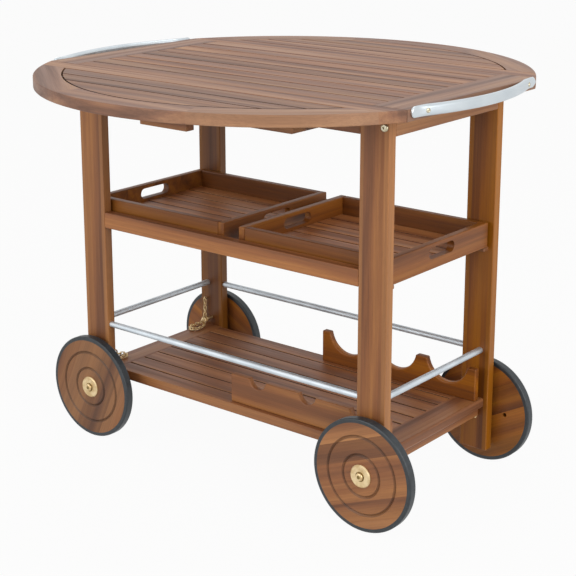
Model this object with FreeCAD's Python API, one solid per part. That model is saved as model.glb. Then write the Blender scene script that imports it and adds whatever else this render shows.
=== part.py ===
import FreeCAD, Part
import math
import os

# Serving cart with a round drop-leaf table, two pull-out trays, a slatted shelf with a bottle rack
# and four wooden wheels. Millimetres. X runs from handle to handle, Y across the two leaves with the
# front at -Y, Z up from the floor.

Vector = FreeCAD.Vector

# Table top
top_height = 800.0
top_thickness = 22.0
top_radius = 490.0
hinge_y = 215.6
end_board_width = 72.0
rim_width = 54.0
rim_round = 2.0
round_angles = (0, 30, 60, 90)
end_board_round = 2.0
slat_gap = 3.6
slat_ease = 1.2
slat_end_rebate = 9.0
centre_slat_count = 9
leaf_slat_count = 3
leaf_joint_gap = 1.0

# Frame
frame_inset = 24.8
leg_overhang = 52.6
leg_width = 63.0
leg_thickness = 20.5
leg_bottom = 35.0
board_ease = 2.0
end_flat = 0.2
apron_height = 38.0
apron_thickness = 20.0

# Leaf hinges
hinge_x = 260.0
hinge_length = 60.0
hinge_plate_gap = 2.0
hinge_plate_thickness = 2.0
knuckle_radius = 3.0
hinge_pin_radius = 1.5
knuckle_play = 0.3
running_play = 0.05

# Leaf supports: sliding bars, the boards that carry them, and the stops under the leaves
slide_bar_width = 44.0
slide_bar_height = 18.0
slide_bar_offset = 28.0
slide_bar_drop = 2.0
slide_end_gap = 31.0
slide_play = 0.3
slide_floor_half_length = 172.0
slide_floor_thickness = 20.0
slide_bridge_overhang = 12.0
slide_bridge_width = 30.0
stop_half_length = 58.0
stop_from_hinge = 112.4
stop_width = 21.0
stop_height = 43.0

# Handles
handle_end_inset = 8.6
handle_drop = 6.0
handle_height = 20.4
handle_rim_inset = 7.0
handle_tube_depth = 13.0
handle_round = 5.0
handle_tab_thickness = 5.0
handle_tab_length = 35.0
handle_screw_inset = 37.0
handle_seat = 11.0
bow_half_angle = 45.0
screw_head_radius = 4.5
screw_head_height = 2.4
screw_radius = 2.0
screw_length = 22.0
fit_play = 0.1

# Leg bolts
bolt_head_radius = 7.5
bolt_head_height = 4.0
bolt_socket_width = 5.0
bolt_socket_depth = 2.4
bolt_radius = 3.5
bolt_length = 50.0
bolt_drop = 20.0
head_dome = 0.75

# Tray rails, runners and trays
tray_rail_bottom = 460.0
tray_rail_height = 33.0
tray_rail_thickness = 20.0
runner_height = 8.0
runner_width = 18.0
runner_drop = 2.5
runner_setback = 10.0
tray_play = 0.3
tray_middle_gap = 38.0
tray_side_play = 5.3
tray_height = 50.0
tray_end_setback = 9.4
tray_wall = 15.0
tray_floor_thickness = 8.0
tray_floor_rise = 6.0
tray_floor_count = 7
tray_floor_gap = 4.0
tray_slot_length = 86.0
tray_slot_height = 22.0
tray_slot_drop = 8.0

# Aluminium rods
rod_radius = 6.4
rod_height = 247.7
rod_let_in = 8.0
end_rod_offset = 10.0

# Lower shelf and bottle rack
shelf_height = 147.0
shelf_thickness = 20.0
shelf_side_play = 0.3
shelf_end_setback = 9.4
shelf_end_width = 53.0
shelf_end_round = 5.0
shelf_slat_count = 8
shelf_slat_gap = 3.5
beam_height = 20.0
beam_thickness = 20.0
beam_setback = 20.4
rack_length = 384.0
rack_end_inset = 4.0
rack_thickness = 14.0
rack_front_inset = 12.0
rack_back_inset = 14.0
rack_front_height = 58.0
rack_back_height = 68.0
bottle_pitch = 124.0
bottle_count = 3
neck_notch_width = 41.0
neck_notch_depth = 18.0
body_notch_width = 97.0
body_notch_depth = 41.0

# Wheels
wheel_radius = 110.0
wheel_thickness = 18.0
wheel_gap = 9.2
tyre_depth = 8.0
tyre_round = 3.0
groove_radii = (76.0, 41.0)
groove_width = 6.0
groove_depth = 2.5
hub_cap_radius = 22.5
hub_cap_thickness = 3.5
hub_cap_bevel = 2.0
axle_radius = 6.0
axle_play = 0.3
axle_head_radius = 8.0
axle_head_height = 4.0
axle_nut_width = 19.0
axle_nut_height = 8.0
collar_radius = 15.0

# Wheel locks on the two left wheels
lock_rise = 18.0
lock_pin_radius = 4.0
lock_pin_round = 1.0
lock_hole_depth = 10.0
lock_engagement = 5.5
lock_tip_setback = 0.8
lock_hole_count = 4
lock_collar_radius = 6.0
lock_collar_length = 4.0
lock_ring_radius = 7.0
lock_ring_wire = 1.6
chain_wire = 1.1
chain_bend = 3.2
chain_straight = 5.0
chain_play = 0.3
eye_radius = 3.6
eye_wire = 1.2
eye_stem = 4.0
eye_rise = 44.0
eye_offset = 13.0

# Places that follow from the sizes above
top_under = top_height - top_thickness
top_half_length = math.sqrt(top_radius ** 2 - hinge_y ** 2)
slat_pitch = 2 * hinge_y / centre_slat_count
centre_edge_y = hinge_y - leaf_joint_gap / 2
leaf_edge_y = hinge_y + leaf_joint_gap / 2
end_board_inner_x = top_half_length - end_board_width
rim_inner_radius = top_radius - rim_width
leaf_rail_edge_y = hinge_y + slat_pitch - slat_gap / 2
hinge_z = top_under - knuckle_radius
frame_half_depth = hinge_y - frame_inset
hinge_plate_width = frame_inset - hinge_plate_gap
leg_outer_x = top_half_length - leg_overhang
leg_inner_x = leg_outer_x - leg_width
leg_centre_x = leg_outer_x - leg_width / 2
leg_inner_y = frame_half_depth - leg_thickness
apron_bottom = top_under - apron_height
slide_floor_top = apron_bottom
slide_bar_top = top_under - slide_bar_drop
slide_bar_bottom = slide_bar_top - slide_bar_height
slide_bar_length = 2 * frame_half_depth - apron_thickness - slide_end_gap
stop_inner_y = hinge_y + stop_from_hinge
handle_half_length = hinge_y - handle_end_inset
handle_z = top_height - handle_drop
handle_low = handle_z - handle_height / 2
handle_high = handle_z + handle_height / 2
handle_outer_radius = top_radius - handle_rim_inset
handle_inner_radius = handle_outer_radius - handle_tube_depth
axle_z = wheel_radius
wheel_inner_y = frame_half_depth + wheel_gap
wheel_outer_y = wheel_inner_y + wheel_thickness
disc_radius = wheel_radius - tyre_depth
lock_z = shelf_height + lock_rise
lock_offset = lock_z - axle_z
end_rod_x = leg_centre_x + end_rod_offset
runner_top = tray_rail_bottom - runner_drop + runner_height
tray_bottom = runner_top + tray_play
tray_half_width = leg_inner_y - tray_side_play
tray_outer_x = leg_outer_x - tray_end_setback
tray_inner_x = tray_middle_gap / 2
shelf_half_width = leg_inner_y - shelf_side_play
shelf_end_outer_x = leg_outer_x - shelf_end_setback
shelf_end_inner_x = shelf_end_outer_x - shelf_end_width
rack_right_x = shelf_end_outer_x - rack_end_inset
rack_left_x = rack_right_x - rack_length
rack_front_y = -shelf_half_width + rack_front_inset
rack_back_y = shelf_half_width - rack_back_inset
lock_travel = wheel_gap + lock_tip_setback + lock_engagement
lock_shoulder_y = leg_inner_y - lock_travel - slide_play
lock_ring_y = lock_shoulder_y - lock_collar_length - lock_ring_radius
eye_z = lock_z + eye_rise
eye_x = -leg_centre_x - eye_offset
eye_y = leg_inner_y - eye_stem - eye_radius
link_hole_half = chain_straight / 2 + chain_bend - chain_wire
chain_lying_z = shelf_height + chain_bend + chain_wire + chain_play
ring_link_z = chain_lying_z + link_hole_half + chain_wire


def box(x0, x1, y0, y1, z0, z1):
    return Part.makeBox(x1 - x0, y1 - y0, z1 - z0, Vector(x0, y0, z0))


def board(x0, x1, y0, y1, z0, z1, ease=board_ease):
    solid = box(x0, x1, y0, y1, z0, z1)
    return solid.makeFillet(ease, solid.Edges)


def rod_along(axis, radius, start, length):
    return Part.makeCylinder(radius, length, start, axis)


def hex_prism(width, height, centre, axis):
    corner = width / math.sqrt(3)
    points = []
    for step in range(7):
        turn = math.radians(60 * step)
        points.append(Vector(corner * math.cos(turn), corner * math.sin(turn), 0))
    prism = Part.Face(Part.makePolygon(points)).extrude(Vector(0, 0, height))
    prism.Placement = FreeCAD.Placement(centre, FreeCAD.Rotation(Vector(0, 0, 1), axis))
    return prism


def turned(points, centre, outward):
    # A turned piece about a Y axis: points are radius and distance outward from the centre.
    corners = [Vector(radius, outward * along, 0) for radius, along in points]
    face = Part.Face(Part.makePolygon(corners + corners[:1]))
    solid = face.revolve(Vector(0, 0, 0), Vector(0, 1, 0), 360)
    solid.translate(centre)
    return solid


def flip_x(solid):
    return solid.mirror(Vector(0, 0, 0), Vector(1, 0, 0))


def flip_y(solid):
    return solid.mirror(Vector(0, 0, 0), Vector(0, 1, 0))


def long_edges(solid, axis):
    chosen = []
    for edge in solid.Edges:
        if isinstance(edge.Curve, Part.Line) and abs(edge.Curve.Direction.dot(axis)) > 0.999:
            chosen.append(edge)
    return chosen


def outer_edges(solid):
    # The edges along Y on the side away from the cart's middle.
    return [edge for edge in long_edges(solid, Vector(0, 1, 0)) if edge.CenterOfMass.x > solid.CenterOfMass.x]


def arcs_of(solid, radius):
    chosen = []
    for edge in solid.Edges:
        if isinstance(edge.Curve, Part.Circle) and abs(edge.Curve.Radius - radius) < 1e-6:
            chosen.append(edge)
    return chosen


def as_drawn(solid):
    return solid


def flip_both(solid):
    return flip_x(flip_y(solid))


nodes = {}


def keep(name, *solids):
    nodes[name] = solids[0] if len(solids) == 1 else Part.makeCompound(list(solids))


# Centre of the table: two end boards and the slats between them

def top_slat(low_y, high_y):
    return board(-end_board_inner_x, end_board_inner_x, low_y, high_y, top_under, top_height, slat_ease)


def centre_slats():
    solids = []
    for index in range(centre_slat_count):
        low_y = -hinge_y + index * slat_pitch + slat_gap / 2
        high_y = low_y + slat_pitch - slat_gap
        if index == 0:
            low_y = -centre_edge_y
        if index == centre_slat_count - 1:
            high_y = centre_edge_y
        solids.append(top_slat(low_y, high_y))
    return solids


def handle_screw_places():
    return [Vector(top_half_length, side * (handle_half_length - handle_screw_inset), handle_z)
            for side in (-1, 1)]


def top_end():
    solid = box(end_board_inner_x, top_half_length, -centre_edge_y, centre_edge_y, top_under, top_height)
    solid = solid.makeFillet(end_board_round, outer_edges(solid))
    for place in handle_screw_places():
        depth = screw_length - handle_seat + fit_play
        solid = solid.cut(rod_along(Vector(-1, 0, 0), screw_radius + fit_play, place, depth))
    return solid


# Leaves, drawn for the front and mirrored for the back

def round_side(x, outward, low, high, radius):
    # An upright side from low to high, both its corners rounded by short chords.
    under = []
    for angle in round_angles:
        turn = math.radians(angle)
        corner_x = x - outward * radius * (1 - math.sin(turn))
        under.append(Vector(corner_x, 0, low + radius * (1 - math.cos(turn))))
    over = [Vector(corner.x, 0, low + high - corner.z) for corner in reversed(under)]
    return under + over


def leaf_ring(inner_radius):
    # The round outline of the table, its outer edges rounded by narrow cones.
    corners = [Vector(inner_radius, 0, top_under)]
    corners = corners + round_side(top_radius, 1, top_under, top_height, rim_round)
    corners = corners + [Vector(inner_radius, 0, top_height)]
    face = Part.Face(Part.makePolygon(corners + corners[:1]))
    return face.revolve(Vector(0, 0, 0), Vector(0, 0, 1), -180)


def leaf_rail():
    strip = box(-top_radius, top_radius, -leaf_rail_edge_y, -leaf_edge_y, top_under, top_height)
    strip = strip.makeFillet(slat_ease, long_edges(strip, Vector(1, 0, 0)))
    return strip.common(leaf_ring(0)).Solids[0]


def leaf_rim():
    side = box(-top_radius, top_radius, -top_radius - 1, -leaf_rail_edge_y, top_under, top_height)
    return leaf_ring(rim_inner_radius).common(side).Solids[0]


def leaf_slats():
    # The slats' ends meet the rim below a narrow rebate, which shows as a gap from above.
    inside = Part.makeCylinder(rim_inner_radius, top_thickness, Vector(0, 0, top_under))
    rebate_start = Vector(0, 0, top_height - slat_end_rebate)
    rebate = Part.makeCylinder(top_radius, top_thickness, rebate_start)
    rebate = rebate.cut(Part.makeCylinder(rim_inner_radius - slat_gap, top_thickness, rebate_start))
    solids = []
    for index in range(leaf_slat_count):
        low_y = leaf_rail_edge_y + slat_gap + index * slat_pitch
        high_y = low_y + slat_pitch - slat_gap
        if index == leaf_slat_count - 1:
            high_y = rim_inner_radius
        strip = box(-top_radius, top_radius, -high_y, -low_y, top_under, top_height)
        slat = strip.common(inside)
        slat = slat.makeFillet(slat_ease, long_edges(slat, Vector(1, 0, 0)))
        solids.append(slat.cut(rebate))
    return solids


def leaf_stop():
    return board(-stop_half_length, stop_half_length, -stop_inner_y - stop_width, -stop_inner_y,
                 top_under - stop_height, top_under)


# Butt hinges: the outer knuckles and the riveted pin are on the fixed plate, the middle one on the leaf

def hinge_plate(side, knuckle_spans, bore, x):
    # side is 1 for the plate under the centre and -1 for the plate under the front leaf
    near_y = -hinge_y + side * (knuckle_radius + knuckle_play)
    far_y = -hinge_y + side * hinge_plate_width
    half = hinge_length / 2
    solid = box(x - half, x + half, min(near_y, far_y), max(near_y, far_y),
                top_under - hinge_plate_thickness, top_under)
    for low, high in knuckle_spans:
        start = Vector(x + low, -hinge_y, hinge_z)
        barrel = rod_along(Vector(1, 0, 0), knuckle_radius, start, high - low)
        link = box(x + low, x + high, min(near_y, -hinge_y), max(near_y, -hinge_y),
                   top_under - hinge_plate_thickness, top_under)
        solid = solid.fuse(barrel).fuse(link)
    bore_start = Vector(x - half - 1, -hinge_y, hinge_z)
    return solid.cut(rod_along(Vector(1, 0, 0), bore, bore_start, hinge_length + 2)).removeSplitter()


def knuckle_thirds():
    half = hinge_length / 2
    third = hinge_length / 3
    return [(-half, -half + third), (-half + third + knuckle_play, half - third - knuckle_play),
            (half - third, half)]


def fixed_hinge(x):
    spans = knuckle_thirds()
    plate = hinge_plate(1, [spans[0], spans[2]], hinge_pin_radius, x)
    start = Vector(x - hinge_length / 2, -hinge_y, hinge_z)
    return plate.fuse(rod_along(Vector(1, 0, 0), hinge_pin_radius, start, hinge_length)).removeSplitter()


def leaf_hinge(x):
    return hinge_plate(-1, [knuckle_thirds()[1]], hinge_pin_radius + running_play, x)


# Sliding bars that hold the leaves up

def slide_bar():
    middle_x = -slide_bar_offset
    return board(middle_x - slide_bar_width / 2, middle_x + slide_bar_width / 2,
                 -frame_half_depth, -frame_half_depth + slide_bar_length,
                 slide_bar_bottom, slide_bar_top)


def slide_floor():
    return board(-slide_floor_half_length, slide_floor_half_length, -frame_half_depth, frame_half_depth,
                 slide_floor_top - slide_floor_thickness, slide_floor_top)


def slide_bridge():
    half_length = slide_bar_offset + slide_bar_width / 2 + slide_bridge_overhang
    return board(-half_length, half_length, -slide_bridge_width / 2, slide_bridge_width / 2,
                 slide_floor_top, slide_bar_bottom - slide_play)


# Frame boards

def leg():
    # Right-hand front leg, with the holes that all four legs share.
    solid = board(leg_inner_x, leg_outer_x, -frame_half_depth, -leg_inner_y, leg_bottom, top_under)
    outward = Vector(0, -1, 0)
    axle_start = Vector(leg_centre_x, -leg_inner_y, axle_z)
    end_rod_start = Vector(end_rod_x, -leg_inner_y, rod_height)
    axle_hole = rod_along(outward, axle_radius + fit_play, axle_start, leg_thickness)
    nut_pocket = hex_prism(axle_nut_width + 2 * fit_play, axle_nut_height, axle_start, outward)
    bolt_hole = rod_along(Vector(0, 1, 0), bolt_radius + fit_play, bolt_place(), leg_thickness)
    long_rod_hole = rod_along(Vector(1, 0, 0), rod_radius + fit_play, long_rod_start(), rod_let_in)
    end_rod_hole = rod_along(outward, rod_radius + fit_play, end_rod_start, rod_let_in)
    for hole in (axle_hole, nut_pocket, bolt_hole, long_rod_hole, end_rod_hole):
        solid = solid.cut(hole)
    return solid


def long_rod_start():
    return Vector(leg_inner_x, -(frame_half_depth + leg_inner_y) / 2, rod_height)


def bolt_place():
    return Vector(leg_outer_x - apron_thickness / 2, -frame_half_depth, top_under - bolt_drop)


def lock_bore(solid):
    # The left-hand legs also carry a lock pin.
    start = Vector(leg_centre_x, -frame_half_depth, lock_z)
    return solid.cut(rod_along(Vector(0, 1, 0), lock_pin_radius + fit_play, start, leg_thickness))


def apron():
    solid = board(-leg_inner_x, leg_inner_x, -frame_half_depth, -frame_half_depth + apron_thickness,
                  apron_bottom, top_under)
    half = slide_bar_width / 2 + slide_play
    notch = box(-slide_bar_offset - half, -slide_bar_offset + half, -frame_half_depth - 1,
                -frame_half_depth + apron_thickness + 1, slide_bar_bottom - slide_play, top_under)
    return solid.cut(notch)


def end_apron():
    solid = board(leg_outer_x - apron_thickness, leg_outer_x, -leg_inner_y, leg_inner_y,
                  apron_bottom, top_under)
    start = bolt_place() + Vector(0, leg_thickness, 0)
    depth = bolt_length - leg_thickness + fit_play
    hole = rod_along(Vector(0, 1, 0), bolt_radius + fit_play, start, depth)
    return solid.cut(hole).cut(flip_y(hole))


def leg_bolt():
    place = bolt_place()
    head = Part.makeCylinder(bolt_head_radius, bolt_head_height, place, Vector(0, -1, 0))
    rim = [edge for edge in arcs_of(head, bolt_head_radius) if edge.CenterOfMass.y < place.y - 1]
    head = head.makeFillet(bolt_head_height * head_dome, rim)
    socket_start = place - Vector(0, bolt_head_height, 0)
    head = head.cut(hex_prism(bolt_socket_width, bolt_socket_depth, socket_start, Vector(0, 1, 0)))
    return head.fuse(rod_along(Vector(0, 1, 0), bolt_radius, place, bolt_length)).removeSplitter()


def tray_rail():
    return board(-leg_inner_x, leg_inner_x, -frame_half_depth, -frame_half_depth + tray_rail_thickness,
                 tray_rail_bottom, tray_rail_bottom + tray_rail_height)


def tray_runner():
    outer_y = -frame_half_depth + max(tray_rail_thickness, leg_thickness)
    reach = leg_outer_x - runner_setback
    return board(-reach, reach, outer_y, outer_y + runner_width, runner_top - runner_height, runner_top)


# Handles and their screws

def handle():
    # A bowed bar on a circle about the cart's middle, flattened at both ends against the end board.
    outer = round_side(handle_outer_radius, 1, handle_low, handle_high, handle_round)
    inner = round_side(handle_inner_radius, -1, handle_low, handle_high, handle_round)
    corners = outer + inner[::-1]
    section = Part.Face(Part.makePolygon(corners + corners[:1]))
    section.rotate(Vector(0, 0, 0), Vector(0, 0, 1), -bow_half_angle)
    bow = section.revolve(Vector(0, 0, 0), Vector(0, 0, 1), 2 * bow_half_angle)
    solid = bow.common(box(top_half_length, top_radius, -handle_half_length, handle_half_length,
                           handle_low, handle_high))
    tab = box(top_half_length, top_half_length + handle_tab_thickness, handle_half_length - handle_tab_length,
              handle_half_length, handle_low, handle_high)
    ends = [edge for edge in long_edges(tab, Vector(1, 0, 0)) if edge.CenterOfMass.y > tab.CenterOfMass.y]
    tab = tab.makeFillet(handle_height / 2 - end_flat, ends)
    solid = solid.fuse(tab).fuse(flip_y(tab)).removeSplitter()
    for place in handle_screw_places():
        seat = place + Vector(handle_seat, 0, 0)
        solid = solid.cut(rod_along(Vector(1, 0, 0), screw_radius + fit_play, place, handle_seat))
        solid = solid.cut(rod_along(Vector(1, 0, 0), screw_head_radius + fit_play, seat, handle_tube_depth))
    return solid


def handle_screw(place):
    seat = place + Vector(handle_seat, 0, 0)
    head = Part.makeCylinder(screw_head_radius, screw_head_height, seat, Vector(1, 0, 0))
    rim = [edge for edge in arcs_of(head, screw_head_radius) if edge.CenterOfMass.x > seat.x + 1]
    head = head.makeFillet(screw_head_height * head_dome, rim)
    return head.fuse(rod_along(Vector(-1, 0, 0), screw_radius, seat, screw_length)).removeSplitter()


# Rods, shelf and rack

def long_rod():
    start = Vector(-leg_inner_x - rod_let_in, long_rod_start().y, rod_height)
    return rod_along(Vector(1, 0, 0), rod_radius, start, 2 * (leg_inner_x + rod_let_in))


def end_rod():
    start = Vector(end_rod_x, -leg_inner_y - rod_let_in, rod_height)
    return rod_along(Vector(0, 1, 0), rod_radius, start, 2 * (leg_inner_y + rod_let_in))


def shelf_end():
    solid = box(shelf_end_inner_x, shelf_end_outer_x, -shelf_half_width, shelf_half_width,
                shelf_height - shelf_thickness, shelf_height)
    return solid.makeFillet(shelf_end_round, outer_edges(solid))


def shelf_slats():
    pitch = 2 * shelf_half_width / shelf_slat_count
    solids = []
    for index in range(shelf_slat_count):
        low_y = -shelf_half_width + index * pitch + shelf_slat_gap / 2
        high_y = low_y + pitch - shelf_slat_gap
        solids.append(board(-shelf_end_inner_x, shelf_end_inner_x, low_y, high_y,
                            shelf_height - shelf_thickness, shelf_height, slat_ease))
    return solids


def shelf_beam():
    outer_x = leg_outer_x - beam_setback
    top = shelf_height - shelf_thickness
    return board(outer_x - beam_thickness, outer_x, -leg_inner_y, leg_inner_y, top - beam_height, top)


def rack_board(near_y, height, notch_width, notch_depth):
    top = shelf_height + height
    solid = board(rack_left_x, rack_right_x, near_y, near_y + rack_thickness, shelf_height, top)
    radius = (notch_width ** 2 / 4 + notch_depth ** 2) / (2 * notch_depth)
    middle_x = (rack_left_x + rack_right_x) / 2
    for index in range(bottle_count):
        x = middle_x + (index - (bottle_count - 1) / 2) * bottle_pitch
        start = Vector(x, near_y - 1, top - notch_depth + radius)
        solid = solid.cut(rod_along(Vector(0, 1, 0), radius, start, rack_thickness + 2))
    return solid


# Trays, drawn for the right-hand one

def tray_frame():
    low = tray_bottom
    high = low + tray_height
    near_x = tray_inner_x
    far_x = tray_outer_x
    side_inner = tray_half_width - tray_wall
    near_side = board(near_x + tray_wall, far_x - tray_wall, -tray_half_width, -side_inner, low, high)
    slot_top = high - tray_slot_drop
    slot = box(near_x - 1, far_x + 1, -tray_slot_length / 2, tray_slot_length / 2,
               slot_top - tray_slot_height, slot_top)
    slot = slot.makeFillet(tray_slot_height / 2 - end_flat, long_edges(slot, Vector(1, 0, 0)))
    near_end = board(near_x, near_x + tray_wall, -tray_half_width, tray_half_width, low, high).cut(slot)
    far_end = board(far_x - tray_wall, far_x, -tray_half_width, tray_half_width, low, high).cut(slot)
    return [near_side, flip_y(near_side), near_end, far_end]


def tray_floor():
    side_inner = tray_half_width - tray_wall
    pitch = 2 * side_inner / tray_floor_count
    low_z = tray_bottom + tray_floor_rise
    solids = []
    for index in range(tray_floor_count):
        low_y = -side_inner + index * pitch + tray_floor_gap / 2
        high_y = low_y + pitch - tray_floor_gap
        solids.append(board(tray_inner_x + tray_wall, tray_outer_x - tray_wall, low_y, high_y,
                            low_z, low_z + tray_floor_thickness, slat_ease))
    return solids


# Wheels, drawn at the right-hand front leg

def wheel_centre():
    return Vector(leg_centre_x, -wheel_inner_y, axle_z)


def wheel_disc():
    outline = [(axle_radius + running_play, 0), (disc_radius, 0), (disc_radius, wheel_thickness)]
    for radius in groove_radii:
        outline.append((radius + groove_width / 2, wheel_thickness))
        outline.append((radius, wheel_thickness - groove_depth))
        outline.append((radius - groove_width / 2, wheel_thickness))
    outline.append((axle_radius + running_play, wheel_thickness))
    solid = turned(outline, wheel_centre(), -1)
    for index in range(lock_hole_count):
        turn = 2 * math.pi * index / lock_hole_count
        place = wheel_centre() + Vector(lock_offset * math.sin(turn), 0, lock_offset * math.cos(turn))
        solid = solid.cut(rod_along(Vector(0, -1, 0), lock_pin_radius + slide_play, place, lock_hole_depth))
    return solid


def wheel_tyre():
    outline = [(disc_radius, 0), (wheel_radius, 0),
               (wheel_radius, wheel_thickness), (disc_radius, wheel_thickness)]
    solid = turned(outline, wheel_centre(), -1)
    return solid.makeFillet(tyre_round, arcs_of(solid, wheel_radius))


def wheel_cap():
    outline = [(axle_radius + running_play, 0), (hub_cap_radius, 0),
               (hub_cap_radius, hub_cap_thickness - hub_cap_bevel),
               (hub_cap_radius - hub_cap_bevel, hub_cap_thickness),
               (axle_radius + running_play, hub_cap_thickness)]
    return turned(outline, wheel_centre() + Vector(0, -wheel_thickness, 0), -1)


def axle_set():
    head_y = -wheel_outer_y - hub_cap_thickness - axle_play
    start = Vector(leg_centre_x, -leg_inner_y, axle_z)
    shank = rod_along(Vector(0, -1, 0), axle_radius, start, start.y - head_y)
    head = Part.makeCylinder(axle_head_radius, axle_head_height, Vector(leg_centre_x, head_y, axle_z),
                             Vector(0, -1, 0))
    rim = [edge for edge in arcs_of(head, axle_head_radius) if edge.CenterOfMass.y < head_y - 1]
    bolt = shank.fuse(head.makeFillet(axle_head_height * head_dome, rim)).removeSplitter()
    bore = rod_along(Vector(0, -1, 0), axle_radius + fit_play, start, axle_nut_height)
    nut = hex_prism(axle_nut_width, axle_nut_height, start, Vector(0, -1, 0)).cut(bore)
    collar_length = wheel_gap - axle_play
    collar_start = Vector(leg_centre_x, -frame_half_depth, axle_z)
    collar = rod_along(Vector(0, -1, 0), collar_radius, collar_start, collar_length)
    collar = collar.cut(rod_along(Vector(0, -1, 0), axle_radius + fit_play, collar_start, collar_length))
    return [bolt, nut, collar]


# Wheel locks, drawn at the back left leg

def lock_pin():
    tip_y = frame_half_depth - lock_tip_setback
    place = Vector(-leg_centre_x, lock_shoulder_y, lock_z)
    shank = rod_along(Vector(0, 1, 0), lock_pin_radius, place, tip_y - lock_shoulder_y)
    tip = [edge for edge in arcs_of(shank, lock_pin_radius) if edge.CenterOfMass.y > tip_y - 1]
    shank = shank.makeFillet(lock_pin_round, tip)
    collar = rod_along(Vector(0, -1, 0), lock_collar_radius, place, lock_collar_length)
    ring_centre = Vector(-leg_centre_x, lock_ring_y, lock_z)
    ring = Part.makeTorus(lock_ring_radius, lock_ring_wire, ring_centre, Vector(1, 0, 0))
    return shank.fuse(collar).fuse(ring).removeSplitter()


def screw_eye():
    place = Vector(eye_x, leg_inner_y, eye_z)
    stem = rod_along(Vector(0, -1, 0), eye_wire, place, eye_stem)
    ring = Part.makeTorus(eye_radius, eye_wire, Vector(eye_x, eye_y, eye_z), Vector(1, 0, 0))
    return stem.fuse(ring).removeSplitter()


def chain_link():
    half = chain_straight / 2
    reach = half + chain_bend
    low = Part.LineSegment(Vector(-half, -chain_bend, 0), Vector(half, -chain_bend, 0))
    far = Part.Arc(Vector(half, -chain_bend, 0), Vector(reach, 0, 0), Vector(half, chain_bend, 0))
    high = Part.LineSegment(Vector(half, chain_bend, 0), Vector(-half, chain_bend, 0))
    near = Part.Arc(Vector(-half, chain_bend, 0), Vector(-reach, 0, 0), Vector(-half, -chain_bend, 0))
    path = Part.Wire([low.toShape(), far.toShape(), high.toShape(), near.toShape()])
    circle = Part.Wire(Part.makeCircle(chain_wire, Vector(0, -chain_bend, 0), Vector(1, 0, 0)))
    return path.makePipeShell([circle], True, True)


def chain_route():
    # From the screw eye down to the shelf and round a loose loop to the link in the ring.
    first_z = eye_z - eye_radius + eye_wire + chain_play
    return [
        Vector(eye_x, eye_y, first_z),
        Vector(eye_x, eye_y, first_z - 28),
        Vector(eye_x - 1, eye_y - 2, chain_lying_z + 4),
        Vector(eye_x - 4, eye_y - 16, chain_lying_z),
        Vector(eye_x - 7, lock_ring_y - 26, chain_lying_z),
        Vector(eye_x + 7, lock_ring_y - 42, chain_lying_z),
        Vector(eye_x + 23, lock_ring_y - 28, chain_lying_z),
        Vector(-leg_centre_x, lock_ring_y + chain_wire + chain_play, chain_lying_z),
    ]


def placed_link(centre, along, across):
    link = chain_link()
    turn = FreeCAD.Rotation(along, across, along.cross(across), "XYZ")
    link.Placement = FreeCAD.Placement(centre, turn)
    return link


def square_to(vector, along):
    return (vector - along * along.dot(vector)).normalize()


def chain():
    spline = Part.BSplineCurve()
    spline.buildFromPoles(chain_route(), False, 2)
    # An odd count, so that the first and the last link of the route thread the eye and the ring's link.
    count = 2 * round(spline.length() / (2 * link_hole_half - 2 * chain_play) / 2) + 1
    spacing = spline.length() / count
    points = [spline.value(spline.parameterAtDistance(index * spacing)) for index in range(count + 1)]
    alongs = [(points[index + 1] - points[index]).normalize() for index in range(count)]
    across = Vector(1, 0, 0)
    acrosses = []
    for along in alongs:
        across = square_to(across, along)
        acrosses.append(across)
    upright = square_to(Vector(0, 0, 1), alongs[-1])
    if upright.dot(across) < 0:
        upright = upright * -1
    roll = math.degrees(math.atan2(across.cross(upright).dot(alongs[-1]), across.dot(upright)))
    solids = []
    for index in range(count):
        turn = FreeCAD.Rotation(alongs[index], roll * index / (count - 1) + 90 * (index % 2))
        centre = (points[index] + points[index + 1]) * 0.5
        solids.append(placed_link(centre, alongs[index], turn.multVec(acrosses[index])))
    hanging = Vector(-leg_centre_x, lock_ring_y, ring_link_z)
    solids.append(placed_link(hanging, Vector(0, 0, 1), Vector(1, 0, 0)))
    return solids


keep("top_slats", *centre_slats())
keep("top_ends", top_end(), flip_x(top_end()))

for name, turn in (("front", as_drawn), ("back", flip_y)):
    keep("leaf_" + name + "_rail", turn(leaf_rail()))
    keep("leaf_" + name + "_rim", turn(leaf_rim()))
    keep("leaf_" + name + "_slats", *[turn(solid) for solid in leaf_slats()])
    keep("leaf_" + name + "_stop", turn(leaf_stop()))
    keep("leaf_" + name + "_hinges", turn(leaf_hinge(-hinge_x)), turn(leaf_hinge(hinge_x)))

keep("hinges_fixed", *[turn(fixed_hinge(x)) for x in (-hinge_x, hinge_x) for turn in (as_drawn, flip_y)])

keep("slide_bar_front", slide_bar())
keep("slide_bar_back", flip_both(slide_bar()))
keep("slide_floor", slide_floor())
keep("slide_bridge", slide_bridge())

keep("apron_front", apron())
keep("apron_back", flip_both(apron()))
keep("aprons_end", end_apron(), flip_x(end_apron()))

keep("leg_front_right", leg())
keep("leg_back_right", flip_y(leg()))
keep("leg_front_left", flip_x(lock_bore(leg())))
keep("leg_back_left", flip_both(lock_bore(leg())))
keep("leg_bolts", leg_bolt(), flip_y(leg_bolt()), flip_x(leg_bolt()), flip_both(leg_bolt()))

keep("tray_rail_front", tray_rail())
keep("tray_rail_back", flip_y(tray_rail()))
keep("tray_runners", tray_runner(), flip_y(tray_runner()))

keep("handle_right", handle())
keep("handle_left", flip_x(handle()))
screws = [handle_screw(place) for place in handle_screw_places()]
keep("handle_screws", *(screws + [flip_x(screw) for screw in screws]))

keep("rods_long", long_rod(), flip_y(long_rod()))
keep("rods_end", end_rod(), flip_x(end_rod()))

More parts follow.
